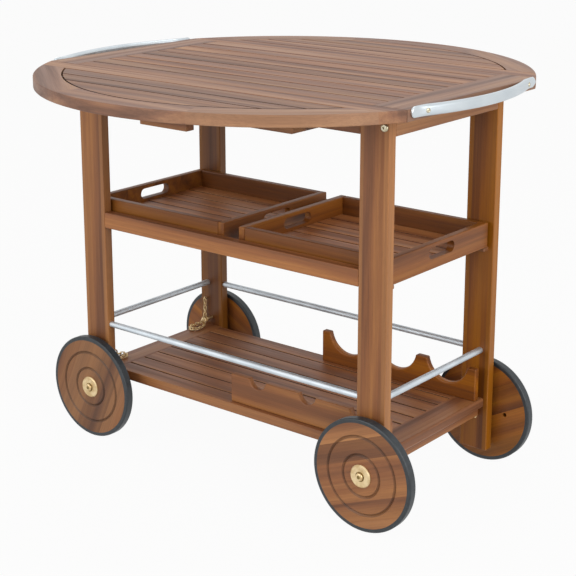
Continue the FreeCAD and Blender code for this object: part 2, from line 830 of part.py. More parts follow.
keep("shelf_ends", shelf_end(), flip_x(shelf_end()))
keep("shelf_slats", *shelf_slats())
keep("shelf_beams", shelf_beam(), flip_x(shelf_beam()))
keep("rack_front_board", rack_board(rack_front_y, rack_front_height, neck_notch_width, neck_notch_depth))
keep("rack_back_board",
     rack_board(rack_back_y - rack_thickness, rack_back_height, body_notch_width, body_notch_depth))

keep("tray_right_frame", *tray_frame())
keep("tray_right_floor", *tray_floor())
keep("tray_left_frame", *[flip_x(solid) for solid in tray_frame()])
keep("tray_left_floor", *[flip_x(solid) for solid in tray_floor()])

corners = (("front_right", as_drawn), ("back_right", flip_y),
           ("front_left", flip_x), ("back_left", flip_both))
axles = []
for name, turn in corners:
    keep("wheel_" + name + "_disc", turn(wheel_disc()))
    keep("wheel_" + name + "_tyre", turn(wheel_tyre()))
    keep("wheel_" + name + "_cap", turn(wheel_cap()))
    axles = axles + [turn(solid) for solid in axle_set()]
keep("axle_sets", *axles)

keep("lock_pin_back", lock_pin())
keep("lock_pin_front", flip_y(lock_pin()))
links = chain()
keep("lock_chain_back", *links)
keep("lock_chain_front", *[flip_y(link) for link in links])
keep("screw_eyes", screw_eye(), flip_y(screw_eye()))

os.makedirs("parts", exist_ok=True)
for name, shape in nodes.items():
    shape.exportStep("parts/" + name + ".step")
    print(name, len(shape.Solids), shape.isValid(), round(shape.Volume))
print(len(nodes), "nodes")
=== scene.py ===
import math
import bpy
import bmesh
from mathutils import Matrix, Vector


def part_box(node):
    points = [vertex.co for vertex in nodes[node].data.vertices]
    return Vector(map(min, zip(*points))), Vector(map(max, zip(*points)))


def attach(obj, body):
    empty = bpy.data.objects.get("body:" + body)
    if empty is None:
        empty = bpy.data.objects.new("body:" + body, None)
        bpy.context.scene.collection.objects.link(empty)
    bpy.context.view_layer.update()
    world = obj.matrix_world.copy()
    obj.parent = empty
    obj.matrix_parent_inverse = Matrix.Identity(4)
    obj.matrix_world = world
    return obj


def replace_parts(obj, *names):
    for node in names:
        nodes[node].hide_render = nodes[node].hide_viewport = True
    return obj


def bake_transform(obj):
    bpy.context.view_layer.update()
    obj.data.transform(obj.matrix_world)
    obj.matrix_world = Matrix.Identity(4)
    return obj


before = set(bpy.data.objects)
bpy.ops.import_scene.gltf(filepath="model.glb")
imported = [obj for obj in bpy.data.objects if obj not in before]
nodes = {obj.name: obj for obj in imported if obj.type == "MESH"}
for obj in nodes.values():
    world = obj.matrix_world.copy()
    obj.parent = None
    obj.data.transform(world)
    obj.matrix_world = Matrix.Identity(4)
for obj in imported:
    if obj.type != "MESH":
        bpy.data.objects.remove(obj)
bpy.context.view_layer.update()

mm = 0.001
weld = {"cadCopy": 0.001 * mm, "spun": 0.01 * mm}  # vertices nearer than this become one
print("frame loaded:", len(nodes), "nodes")


def hexToLinear(text):
    channels = [int(text[i:i + 2], 16) / 255 for i in (1, 3, 5)]
    return [c / 12.92 if c <= 0.04045 else ((c + 0.055) / 1.055) ** 2.4 for c in channels] + [1.0]


# a key of settings is a socket's name or number, "stops" fills a colour ramp, anything else is a property
# of the node; a key of links is the socket that the value is plugged into
def addNode(tree, kind, settings=None, links=None):
    node = tree.nodes.new(kind)
    for key, value in (settings or {}).items():
        if key == "stops":
            ramp = node.color_ramp.elements
            while len(ramp) < len(value):
                ramp.new(0.5)
            for element, (position, colour) in zip(ramp, value):
                element.position = position
                element.color = hexToLinear(colour)
        elif isinstance(key, int) or (key in node.inputs and not hasattr(type(node), key)):
            node.inputs[key].default_value = value
        else:
            setattr(node, key, value)
    for key, source in (links or {}).items():
        tree.links.new(source, node.inputs[key])
    return node


def newMaterial(name):
    material = bpy.data.materials.new(name)
    material.use_nodes = True
    tree = material.node_tree
    tree.nodes.clear()
    output = tree.nodes.new("ShaderNodeOutputMaterial")
    return material, tree, output


def dress(material, names):
    for name in names:
        mesh = nodes[name].data
        mesh.materials.clear()
        mesh.materials.append(material)


# acacia boards: planed, sanded and oiled, so the grain shows as long streaks under a soft sheen,
# with fine open pores along it and a tone that changes from board to board
acacia = {
    "dark": "#693E22",
    "mid": "#88532C",
    "light": "#A16937",
    "stops": (0.29, 0.49, 0.70),    # places of dark, mid and light on the colour ramp
    "sapwood": "#B67E4A",           # paler wood, in strips
    "streakMm": 15.0,               # width of a streak across the grain
    "streakStretch": 0.03,
    "bandMm": 30.0,                 # width of a light or a dark growth band of a flat-sawn board
    "bandShare": 0.24,
    "halfWave": 0.314,              # metres, the width of a band in a diagonal wave texture of scale 1
    "fibreMm": 2.4,                 # real fibres are about 0.3 mm, drawn coarser so that they show
    "fibreStretch": 0.015,
    "fibreTone": (0.82, 1.14),      # brightness of the darkest and of the palest fibres
    "poreMm": 1.6,                  # real pores are 0.2 mm wide, drawn coarser so that they show
    "poreStretch": 0.06,
    "poreRim": (0.10, 0.30),        # distance from its middle at which a pore begins to close, and ends
    "poreDark": 0.16,
    "poreDepth": 0.6,               # against the height of the fibres
    "sapMm": 70.0,
    "sapStretch": 0.06,
    "sapPlace": (5.1, 2.3, 0.7),    # keeps the strips from following the streaks
    "sapFrom": (0.58, 0.68),        # noise at which a strip begins, and is full
    "roughness": (0.40, 0.56),      # of the palest and of the darkest streaks
    "bump": 0.35,
    "bumpMm": 0.25,
    "boardJump": (3.0, 1.0, 1.0),   # metres by which the grain of two boards can lie apart
    "seedStep": (0.731, 0.277, 0.413),  # metres that one unit of shift moves the grain
}


# turn: degrees that lay the grain on X; boards: axis, pitch and start in mm of boards side by side;
# segments: a curved rim glued up from straight lengths; crossEnds: middle and half length in mm of boards
# between two that run across; paleEdges: a board paler along its edges; spread: tones of the boards;
# shift: moves the grain, so that no two boards are alike; paintedShade: painted shade darkens the wood where
# a face tilts away from this axis, as in gaps and turned grooves; fade: how rich the colour is
def acaciaBoards(name, turn=(0, 0, 0), boards=None, tone=0.0, centre=(0, 0, 0), shift=0.0, segments=None,
                 crossEnds=None, paleEdges=None, spread=(0.90, 1.12), sapShare=0.5, paintedShade=None, fade=1.0):
    material, tree, output = newMaterial(name)
    coordinates = addNode(tree, "ShaderNodeTexCoord")
    place = coordinates.outputs["Object"]
    number = None
    if segments:
        # each length is turned so that its grain runs along it
        step = segments["sweep"] / segments["count"]
        apart = addNode(tree, "ShaderNodeSeparateXYZ", {}, {0: place})
        angle = addNode(tree, "ShaderNodeMath", {"operation": "ARCTAN2"},
                        {0: apart.outputs["Y"], 1: apart.outputs["X"]})
        share = addNode(tree, "ShaderNodeMath",
                        {"operation": "MULTIPLY_ADD", 1: 1 / step, 2: -segments["start"] / step},
                        {0: angle.outputs[0]})
        number = addNode(tree, "ShaderNodeMath", {"operation": "FLOOR"}, {0: share.outputs[0]}).outputs[0]
        middle = addNode(tree, "ShaderNodeMath",
                         {"operation": "MULTIPLY_ADD", 1: -step,
                          2: -segments["start"] - step / 2 + math.pi / 2}, {0: number})
        turned = addNode(tree, "ShaderNodeVectorRotate", {"rotation_type": "Z_AXIS"},
                         {"Vector": place, "Angle": middle.outputs[0]})
        place = turned.outputs[0]
    if crossEnds:
        apart = addNode(tree, "ShaderNodeSeparateXYZ", {}, {0: place})
        along = addNode(tree, "ShaderNodeMath", {"operation": "ABSOLUTE"}, {0: apart.outputs["X"]})
        along = addNode(tree, "ShaderNodeMath", {"operation": "SUBTRACT", 1: crossEnds["middle"] * mm},
                        {0: along.outputs[0]})
        along = addNode(tree, "ShaderNodeMath", {"operation": "ABSOLUTE"}, {0: along.outputs[0]})
        across = addNode(tree, "ShaderNodeMath", {"operation": "GREATER_THAN", 1: crossEnds["half"] * mm},
                         {0: along.outputs[0]})
        angle = addNode(tree, "ShaderNodeMath", {"operation": "MULTIPLY", 1: -math.pi / 2},
                        {0: across.outputs[0]})
        turned = addNode(tree, "ShaderNodeVectorRotate", {"rotation_type": "Z_AXIS"},
                         {"Vector": place, "Angle": angle.outputs[0]})
        place = turned.outputs[0]
    laid = addNode(tree, "ShaderNodeMapping", {"Location": [-c * mm for c in centre]}, {"Vector": place})
    laid = addNode(tree, "ShaderNodeMapping", {"Rotation": [math.radians(a) for a in turn]},
                   {"Vector": laid.outputs[0]})
    grain = laid.outputs[0]
    if boards:
        axis, pitch, start = boards
        apart = addNode(tree, "ShaderNodeSeparateXYZ", {}, {0: grain})
        share = addNode(tree, "ShaderNodeMath",
                        {"operation": "MULTIPLY_ADD", 1: 1 / (pitch * mm), 2: -start / pitch},
                        {0: apart.outputs[axis]})
        number = addNode(tree, "ShaderNodeMath", {"operation": "FLOOR"}, {0: share.outputs[0]}).outputs[0]
    if number:
        seeded = addNode(tree, "ShaderNodeMath", {"operation": "ADD", 1: shift}, {0: number})
        chance = addNode(tree, "ShaderNodeTexWhiteNoise", {"noise_dimensions": "1D"},
                         {"W": seeded.outputs[0]})
        jump = addNode(tree, "ShaderNodeVectorMath", {"operation": "MULTIPLY", 1: acacia["boardJump"]},
                       {0: chance.outputs["Color"]})
        grain = addNode(tree, "ShaderNodeVectorMath", {"operation": "ADD"},
                        {0: grain, 1: jump.outputs[0]}).outputs[0]
    moved = addNode(tree, "ShaderNodeMapping", {"Location": [shift * step for step in acacia["seedStep"]]},
                    {"Vector": grain})
    grain = moved.outputs[0]

    # patterns of the grain: a scale under 1 on X draws each of them out along the board
    long = addNode(tree, "ShaderNodeMapping", {"Scale": (acacia["streakStretch"], 1, 1)}, {"Vector": grain})
    streaks = addNode(tree, "ShaderNodeTexNoise",
                      {"Scale": 1 / (acacia["streakMm"] * mm), "Detail": 6.0, "Roughness": 0.6,
                       "Distortion": 0.4}, {"Vector": long.outputs[0]})
    bands = addNode(tree, "ShaderNodeTexWave",
                    {"wave_type": "BANDS", "bands_direction": "DIAGONAL",
                     "Scale": acacia["halfWave"] / (acacia["bandMm"] * mm), "Distortion": 5.0,
                     "Detail": 2.0, "Detail Scale": 0.6, "Detail Roughness": 0.6},
                    {"Vector": long.outputs[0]})
    fine = addNode(tree, "ShaderNodeMapping", {"Scale": (acacia["fibreStretch"], 1, 1)}, {"Vector": grain})
    fibres = addNode(tree, "ShaderNodeTexNoise",
                     {"Scale": 1 / (acacia["fibreMm"] * mm), "Detail": 3.0, "Roughness": 0.7},
                     {"Vector": fine.outputs[0]})
    dashes = addNode(tree, "ShaderNodeMapping", {"Scale": (acacia["poreStretch"], 1, 1)}, {"Vector": grain})
    pores = addNode(tree, "ShaderNodeTexVoronoi",
                    {"feature": "F1", "Scale": 1 / (acacia["poreMm"] * mm), "Randomness": 1.0},
                    {"Vector": dashes.outputs[0]})
    pits = addNode(tree, "ShaderNodeMapRange",
                   {"From Min": acacia["poreRim"][0], "From Max": acacia["poreRim"][1],
                    "To Min": 1.0, "To Max": 0.0}, {"Value": pores.outputs["Distance"]})
    wide = addNode(tree, "ShaderNodeMapping",
                   {"Scale": (acacia["sapStretch"], 1, 1), "Location": acacia["sapPlace"]}, {"Vector": grain})
    strip = addNode(tree, "ShaderNodeTexNoise",
                    {"Scale": 1 / (acacia["sapMm"] * mm), "Detail": 2.0, "Roughness": 0.4},
                    {"Vector": wide.outputs[0]})

    # streaks and growth bands together choose the colour, then sapwood, fibres, pores and tone change it
    blend = addNode(tree, "ShaderNodeMix", {"data_type": "FLOAT", 0: acacia["bandShare"]},
                    {2: streaks.outputs["Fac"], 3: bands.outputs["Fac"]})
    colours = (acacia["dark"], acacia["mid"], acacia["light"])
    colour = addNode(tree, "ShaderNodeValToRGB", {"stops": list(zip(acacia["stops"], colours))},
                     {"Fac": blend.outputs[0]})
    sap = addNode(tree, "ShaderNodeMapRange",
                  {"From Min": acacia["sapFrom"][0], "From Max": acacia["sapFrom"][1],
                   "To Min": 0.0, "To Max": sapShare}, {"Value": strip.outputs["Fac"]})
    if paleEdges:
        # paler along both long edges of a leg, in the sapwood colour, with a wavy border
        apart = addNode(tree, "ShaderNodeSeparateXYZ", {}, {0: coordinates.outputs["Object"]})
        aside = addNode(tree, "ShaderNodeMath", {"operation": "ABSOLUTE"}, {0: apart.outputs["X"]})
        aside = addNode(tree, "ShaderNodeMath", {"operation": "SUBTRACT", 1: paleEdges["middle"] * mm},
                        {0: aside.outputs[0]})
        aside = addNode(tree, "ShaderNodeMath", {"operation": "ABSOLUTE"}, {0: aside.outputs[0]})
        border = addNode(tree, "ShaderNodeMath", {"operation": "MULTIPLY_ADD", 1: paleEdges["wave"] * mm},
                         {0: strip.outputs["Fac"], 2: aside.outputs[0]})
        start = (paleEdges["half"] - paleEdges["width"] + paleEdges["wave"] / 2) * mm
        sap = addNode(tree, "ShaderNodeMapRange",
                      {"From Min": start, "From Max": start + paleEdges["soft"] * mm,
                       "To Min": 0.0, "To Max": paleEdges["amount"]}, {"Value": border.outputs[0]})
    colour = addNode(tree, "ShaderNodeMix", {"data_type": "RGBA", 7: hexToLinear(acacia["sapwood"])},
                     {0: sap.outputs[0], 6: colour.outputs["Color"]})
    fibreTone = addNode(tree, "ShaderNodeMapRange",
                        {"From Min": 0.25, "From Max": 0.75,
                         "To Min": acacia["fibreTone"][0], "To Max": acacia["fibreTone"][1]},
                        {"Value": fibres.outputs["Fac"]})
    darkest = addNode(tree, "ShaderNodeMath", {"operation": "MULTIPLY", 1: -acacia["poreDark"]},
                      {0: pits.outputs[0]})
    value = addNode(tree, "ShaderNodeMath", {"operation": "ADD"},
                    {0: fibreTone.outputs[0], 1: darkest.outputs[0]})
    # painted shade: faces that tilt away from the axis, the walls of gaps and grooves, are darkened
    if paintedShade:
        facing = addNode(tree, "ShaderNodeSeparateXYZ", {}, {0: coordinates.outputs["Normal"]})
        level = addNode(tree, "ShaderNodeMath", {"operation": "ABSOLUTE"},
                        {0: facing.outputs[paintedShade["axis"]]})
        apart = addNode(tree, "ShaderNodeSeparateXYZ", {}, {0: coordinates.outputs["Object"]})
        aside = addNode(tree, "ShaderNodeMath", {"operation": "ABSOLUTE"}, {0: apart.outputs["Y"]})
        outside = addNode(tree, "ShaderNodeMath", {"operation": "GREATER_THAN", 1: paintedShade["last"] * mm},
                          {0: aside.outputs[0]})
        level = addNode(tree, "ShaderNodeMath", {"operation": "MAXIMUM"},
                        {0: level.outputs[0], 1: outside.outputs[0]})
        # oiled holds the painted shade, darkest on the walls of gaps and grooves
        oiled = addNode(tree, "ShaderNodeMapRange",
                        {"From Min": paintedShade["tilt"][0], "From Max": paintedShade["tilt"][1],
                         "To Min": paintedShade["dark"], "To Max": 1.0}, {"Value": level.outputs[0]})
        value = addNode(tree, "ShaderNodeMath", {"operation": "MULTIPLY"},
                        {0: value.outputs[0], 1: oiled.outputs[0]})
    hue = addNode(tree, "ShaderNodeHueSaturation", {"Hue": 0.5, "Saturation": fade},
                  {"Color": colour.outputs[2], "Value": value.outputs[0]})
    if number:
        pale = addNode(tree, "ShaderNodeMapRange", {"To Min": spread[0] + tone, "To Max": spread[1] + tone},
                       {"Value": chance.outputs["Value"]})
        hue = addNode(tree, "ShaderNodeHueSaturation", {"Hue": 0.5, "Saturation": 0.97},
                      {"Color": hue.outputs[0], "Value": pale.outputs[0]})
    else:
        hue = addNode(tree, "ShaderNodeHueSaturation", {"Hue": 0.5, "Saturation": 1.0, "Value": 1.0 + tone},
                      {"Color": hue.outputs[0]})
    low, high = acacia["roughness"]
    rough = addNode(tree, "ShaderNodeMapRange",
                    {"From Min": 0.3, "From Max": 0.7, "To Min": high, "To Max": low},
                    {"Value": streaks.outputs["Fac"]})
    height = addNode(tree, "ShaderNodeMath", {"operation": "MULTIPLY_ADD", 1: -acacia["poreDepth"]},
                     {0: pits.outputs[0], 2: fibres.outputs["Fac"]})
    bump = addNode(tree, "ShaderNodeBump", {"Strength": acacia["bump"], "Distance": acacia["bumpMm"] * mm},
                   {"Height": height.outputs[0]})
    surface = addNode(tree, "ShaderNodeBsdfPrincipled", {"IOR": 1.47, "Specular IOR Level": 0.5},
                      {"Base Color": hue.outputs[0], "Roughness": rough.outputs[0],
                       "Normal": bump.outputs[0]})
    tree.links.new(surface.outputs[0], output.inputs["Surface"])
    return material


# table top: slats along X side by side, two end boards along Y, and rims glued up from straight lengths
table = {
    "slats": ("Y", 47.911, -215.6),
    "slatLook": {"tone": -0.10, "spread": (0.79, 1.22), "sapShare": 0.7, "fade": 0.95},
    "lastGap": {"table": 214.0, "leaf": 450.0},  # mm from the middle, past which no gap lies
    "rimSweep": 115.3,
    "rimLengths": 3,
    # rimLook: rims greyer in colour, a painted sheen on their edges
    "rimLook": {"tone": -0.10, "fade": 0.88},
    "rims": {"front": {"middle": -90, "seed": 5.0}, "back": {"middle": 90, "seed": 9.0}},
}
# painted shade in the gaps between the slats: their side faces are darkened
slatGapShade = {"axis": "Z", "tilt": (0.2, 0.7), "dark": 0.18}
slatNodes = {"table": ["top_slats"], "leaf": ["leaf_front_slats", "leaf_back_slats"]}
for part, names in slatNodes.items():
    dress(acaciaBoards("acacia oiled slats of the " + part, boards=table["slats"],
                       paintedShade=dict(slatGapShade, last=table["lastGap"][part]), **table["slatLook"]), names)
for side, rim in table["rims"].items():
    sweep = math.radians(table["rimSweep"])
    lengths = {"count": table["rimLengths"], "sweep": sweep, "start": math.radians(rim["middle"]) - sweep / 2}
    dress(acaciaBoards("acacia oiled rim " + side, segments=lengths, shift=rim["seed"], **table["rimLook"]),
          ["leaf_%s_rim" % side])
print("table top dressed")

# legs upright, paler along their edges; the wood at the back of the cart is painted richer in colour, and the
# back left leg darker, as painted shade
alongY = (0, 0, -90)  # the turn that lays grain along Y on X
alongZ = (0, 90, 0)
backShadeFade = {"legs": 1.25, "boards": 1.15, "wheels": 1.25}
legEdges = {"middle": 355.92, "half": 31.5, "width": 11.0, "wave": 8.0, "soft": 3.0, "amount": 0.45}
legs = {
    "leg_front_right": {"tone": 0.04, "shift": 1.3},
    "leg_back_right": {"tone": -0.08, "shift": 3.4},
    "leg_front_left": {"tone": -0.04, "shift": 5.5},
    "leg_back_left": {"tone": -0.46, "shift": 7.6},
}
for name, look in legs.items():
    dress(acaciaBoards("acacia oiled " + name.replace("_", " "), alongZ, paleEdges=legEdges,
                       fade=backShadeFade["legs"] if "back" in name else 1.0, **look), [name])

# single boards along X
singleBoards = {
    "apron_front": {"tone": 0.05, "shift": 11.0},
    "apron_back": {"tone": -0.05, "shift": 12.7},
    "tray_rail_front": {"tone": 0.24, "shift": 14.4},
    "tray_rail_back": {"tone": 0.0, "shift": 16.1},
    "slide_floor": {"tone": -0.06, "shift": 17.8},
    "leaf_front_stop": {"tone": -0.02, "shift": 19.5},
    "leaf_back_stop": {"tone": 0.02, "shift": 21.2},
    "rack_front_board": {"tone": 0.02, "shift": 22.9},
    "rack_back_board": {"tone": 0.0, "shift": 24.6},
}
# boards at the back are painted richer in colour, as painted shade
for name, look in singleBoards.items():
    dress(acaciaBoards("acacia oiled " + name.replace("_", " "),
                       fade=backShadeFade["boards"] if "back" in name else 1.0, **look), [name])

# boards that share a material, told apart by their pitch
# painted shade in the gaps between the slats of the shelf and the trays
innerGapShade = dict(slatGapShade, last=165.0)  # of the shelf and the trays
boardSets = {
    "end boards": (["top_ends"],
                   {"turn": alongY, "boards": ("Y", 440.0, 0.0), "tone": -0.12, "shift": 2.7, "fade": 0.82}),
    "leaf rails": (["leaf_front_rail", "leaf_back_rail"],
                   {"boards": table["slats"], "tone": 0.04, "shift": 3.9, "fade": 0.92}),
    "end aprons": (["aprons_end"], {"turn": alongY, "boards": ("Y", 400.0, 0.0), "shift": 31.0}),
    "tray runners": (["tray_runners"], {"boards": ("Y", 200.0, 0.0), "shift": 33.0}),
    "sliding bars": (["slide_bar_front", "slide_bar_back", "slide_bridge"],
                     {"turn": alongY, "boards": ("Y", 60.0, 0.0), "shift": 35.0}),
    "shelf slats": (["shelf_slats"],
                    {"boards": ("Y", 42.5, -170.0), "tone": 0.10, "shift": 41.0, "paintedShade": innerGapShade}),
    "shelf ends": (["shelf_ends", "shelf_beams"],
                   {"turn": alongY, "boards": ("Y", 400.0, 0.0), "tone": -0.02, "shift": 43.0}),
    # tray floors painted paler: painted light inside the trays under the table top
    "tray floors": (["tray_right_floor", "tray_left_floor"],
                    {"boards": ("Y", 42.77, -149.7), "tone": 0.70, "shift": 47.0, "paintedShade": innerGapShade}),
    # tray frames painted darker and richer in colour: painted shade under the table top
    "tray frames": (["tray_right_frame", "tray_left_frame"],
                    {"boards": ("Y", 82.5, -165.0), "tone": -0.20, "shift": 53.0, "fade": 1.12,
                     "crossEnds": {"middle": 198.51, "half": 164.51}}),
}
for title, (names, look) in boardSets.items():
    dress(acaciaBoards("acacia oiled " + title, **look), names)
print("frame, shelf and trays dressed")

# wheel discs: glued up from planks, then turned, so plank joints cross the rings of the turning
wheels = {
    "front_right": {"plank": 38.5, "start": 30.0, "angle": 22.0, "seed": 290.25, "tone": 0.04},
    "front_left": {"plank": 60.0, "start": 0.0, "angle": 66.0, "seed": 67.0, "tone": -0.14},
    "back_right": {"plank": 52.0, "start": -20.0, "angle": 28.0, "seed": 71.0, "tone": 0.04},
    "back_left": {"plank": 52.0, "start": 14.0, "angle": -30.0, "seed": 79.0, "tone": 0.0},
}
plankSpread = (0.74, 1.18)
# painted shade in the turned grooves of the wheels: their flanks are darkened
grooveShade = {"axis": "Y", "tilt": (0.80, 0.95), "dark": 0.58, "last": 450.0}
# back wheels are painted richer in colour, as painted shade
for name, look in wheels.items():
    low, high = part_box("wheel_%s_disc" % name)
    middle = [(a + b) / 2 / mm for a, b in zip(low, high)]
    dress(acaciaBoards("acacia oiled wheel " + name.replace("_", " "), (0, look["angle"], 0),
                       boards=("Z", look["plank"], look["start"]), tone=look["tone"], centre=middle,
                       shift=look["seed"], spread=plankSpread, paintedShade=grooveShade,
                       fade=backShadeFade["wheels"] if "back" in name else 1.0), ["wheel_%s_disc" % name])
print("wheels dressed")

# rubber tyre: moulded, half matt and dark blue-grey, with a faint mottle of dust
tyreRubber = {"colour": "#23282C", "dusty": "#2F363B", "stops": (0.4, 0.75), "mottleMm": 9.0, "grainMm": 1.5,
              "roughness": (0.38, 0.50), "bump": 0.2, "bumpMm": 0.2}
material, tree, output = newMaterial("rubber moulded dark grey")
place = addNode(tree, "ShaderNodeTexCoord").outputs["Object"]
mottle = addNode(tree, "ShaderNodeTexNoise", {"Scale": 1 / (tyreRubber["mottleMm"] * mm), "Detail": 4.0},
                 {"Vector": place})
grit = addNode(tree, "ShaderNodeTexNoise", {"Scale": 1 / (tyreRubber["grainMm"] * mm), "Detail": 2.0},
               {"Vector": place})
colours = (tyreRubber["colour"], tyreRubber["dusty"])
colour = addNode(tree, "ShaderNodeValToRGB", {"stops": list(zip(tyreRubber["stops"], colours))},
                 {"Fac": mottle.outputs["Fac"]})
low, high = tyreRubber["roughness"]
rough = addNode(tree, "ShaderNodeMapRange", {"To Min": low, "To Max": high}, {"Value": mottle.outputs["Fac"]})
bump = addNode(tree, "ShaderNodeBump",
               {"Strength": tyreRubber["bump"], "Distance": tyreRubber["bumpMm"] * mm},
               {"Height": grit.outputs["Fac"]})
surface = addNode(tree, "ShaderNodeBsdfPrincipled", {"IOR": 1.52},
                  {"Base Color": colour.outputs[0], "Roughness": rough.outputs[0], "Normal": bump.outputs[0]})
tree.links.new(surface.outputs[0], output.inputs["Surface"])
dress(material, ["wheel_%s_tyre" % name for name in wheels])

# metals: drawn aluminium, turned brass, zinc-plated steel; fine working marks roughen the shine unevenly,
# and a faint cloud in the colour stands for handling
drawn = (0.05, 0.05, 1)  # marks lie level, along the handles and the rods
even = (1, 1, 1)
metals = {
    "aluminium": {"dark": "#C7CFD4", "light": "#D0D7DB", "markMm": 2.0, "cloudMm": 60.0, "stretch": drawn,
                  "roughness": (0.30, 0.44)},
    "rods": {"dark": "#C4CCD2", "light": "#D4DBE0", "markMm": 2.0, "cloudMm": 60.0, "stretch": drawn,
             "roughness": (0.52, 0.64)},
    "brass": {"dark": "#C8AC7E", "light": "#E2CCA2", "markMm": 1.5, "cloudMm": 12.0, "stretch": even,
              "roughness": (0.36, 0.50)},
    # darker brass for the bolt rings, and for the painted shade of the bolt sockets
    "darkBrassShade": {"dark": "#6B5831", "light": "#8C7748", "markMm": 1.0, "cloudMm": 5.0, "stretch": even,
                  "roughness": (0.45, 0.60)},
    "steel": {"dark": "#B3A98C", "light": "#CFC8B4", "markMm": 1.5, "cloudMm": 8.0, "stretch": even,
              "roughness": (0.28, 0.42)},
}
metalMarks = {"stops": (0.35, 0.65), "bump": 0.12, "bumpMm": 0.08}


def satinMetal(name, look):
    material, tree, output = newMaterial(name)
    place = addNode(tree, "ShaderNodeTexCoord").outputs["Object"]
    long = addNode(tree, "ShaderNodeMapping", {"Scale": look["stretch"]}, {"Vector": place})
    marks = addNode(tree, "ShaderNodeTexNoise", {"Scale": 1 / (look["markMm"] * mm), "Detail": 3.0},
                    {"Vector": long.outputs[0]})
    cloud = addNode(tree, "ShaderNodeTexNoise", {"Scale": 1 / (look["cloudMm"] * mm), "Detail": 2.0},
                    {"Vector": place})
    colours = (look["dark"], look["light"])
    colour = addNode(tree, "ShaderNodeValToRGB", {"stops": list(zip(metalMarks["stops"], colours))},
                     {"Fac": cloud.outputs["Fac"]})
    low, high = look["roughness"]
    rough = addNode(tree, "ShaderNodeMapRange",
                    {"From Min": 0.3, "From Max": 0.7, "To Min": low, "To Max": high},
                    {"Value": marks.outputs["Fac"]})
    bump = addNode(tree, "ShaderNodeBump",
                   {"Strength": metalMarks["bump"], "Distance": metalMarks["bumpMm"] * mm},
                   {"Height": marks.outputs["Fac"]})
    surface = addNode(tree, "ShaderNodeBsdfPrincipled", {"Metallic": 1.0},
                      {"Base Color": colour.outputs[0], "Roughness": rough.outputs[0],
                       "Normal": bump.outputs[0]})
    tree.links.new(surface.outputs[0], output.inputs["Surface"])
    return material


aluminium = satinMetal("aluminium drawn satin", metals["aluminium"])
brass = satinMetal("brass turned satin", metals["brass"])
darkBrassShade = satinMetal("brass darkened with painted shade", metals["darkBrassShade"])
steel = satinMetal("steel zinc plated", metals["steel"])
dress(satinMetal("aluminium anodised matt", metals["rods"]), ["rods_long", "rods_end"])
dress(brass, ["wheel_%s_cap" % name for name in wheels])
dress(brass, ["hinges_fixed", "leaf_front_hinges", "leaf_back_hinges", "lock_pin_front", "lock_pin_back",
              "screw_eyes", "axle_sets"])
dress(steel, ["leg_bolts"])
print("rubber and metals dressed")


def addPiece(name, bm, material, body):
    mesh = bpy.data.meshes.new(name)
    bm.to_mesh(mesh)
    bm.free()
    mesh.materials.append(material)
    piece = bpy.data.objects.new(name, mesh)
    bpy.context.scene.collection.objects.link(piece)
    if body:
        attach(piece, body)
    return piece


# handles: oval tube bent to a circle about the cart's middle, pressed flat against the end board at both
# ends; sizes in mm
bow = {"outer": 483.0, "inner": 470.0, "face": 440.02, "flat": 5.0, "half": 207.0, "z": 794.0, "height": 20.4,
       "thinnest": 0.6, "corner": 6.2, "cornerSteps": 6, "soft": 3.0, "stations": 72,
       "sink": 0.375}  # takes off what the soft corner adds to the flat end


# outer side, inner side and height of the tube at a distance y from the handle's middle
def bowStation(y):
    arc = math.sqrt(bow["outer"] ** 2 - y ** 2) - bow["face"] - bow["flat"]
    # a soft corner where the bow runs into the flat end
    rounded = (arc + math.sqrt(arc ** 2 + bow["soft"] ** 2)) / 2 - bow["sink"]
    outer = min(bow["face"] + bow["flat"] + rounded, bow["outer"])
    inner = max(bow["face"], math.sqrt(bow["inner"] ** 2 - y ** 2))
    radius = bow["height"] / 2
    reach = min(bow["half"] - abs(y), radius)
    height = 2 * math.sqrt(radius ** 2 - (radius - reach) ** 2)
    return outer, inner, max(height, bow["thinnest"])


for name, side in (("handle_right", 1), ("handle_left", -1)):
    bm = bmesh.new()
    bmesh.ops.create_grid(bm, x_segments=1, y_segments=1, size=0.5)
    depth = bow["outer"] - bow["inner"]
    bmesh.ops.scale(bm, vec=(depth * mm, bow["height"] * mm, 1), verts=bm.verts)
    bmesh.ops.bevel(bm, geom=bm.verts[:], offset=bow["corner"] * mm, segments=bow["cornerSteps"], profile=0.5,
                    affect="VERTICES", material=-1)
    bmesh.ops.rotate(bm, cent=(0, 0, 0), matrix=Matrix.Rotation(math.radians(90), 3, "X"), verts=bm.verts)
    # closer stations at the pressed ends
    turns = [math.pi * step / bow["stations"] for step in range(bow["stations"] + 1)]
    places = [-bow["half"] * math.cos(turn) for turn in turns]
    now = Matrix.Identity(4)
    section = bm.faces[:]
    for step, y in enumerate(places):
        if step:
            made = bmesh.ops.extrude_face_region(bm, geom=section)["geom"]
            if step > 1:
                inside = [face for face in section if face.is_valid]
                bmesh.ops.delete(bm, geom=inside, context="FACES_ONLY")
            section = [part for part in made if isinstance(part, bmesh.types.BMFace)]
        outer, inner, height = bowStation(y)
        centre = Matrix.Translation(Vector(((outer + inner) / 2, y, bow["z"])) * mm)
        wanted = centre @ Matrix.Diagonal(((outer - inner) / depth, 1, height / bow["height"], 1))
        bmesh.ops.transform(bm, matrix=wanted @ now.inverted(), verts=section[0].verts)
        now = wanted
    if side < 0:
        bmesh.ops.scale(bm, vec=(-1, 1, 1), verts=bm.verts)
    bmesh.ops.recalc_face_normals(bm, faces=bm.faces)
    for face in bm.faces:
        face.smooth = len(face.verts) == 4  # all but the two ends
    piece = addPiece("bowedTube" + name.split("_")[1].capitalize(), bm, aluminium, "frame")
    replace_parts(piece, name)

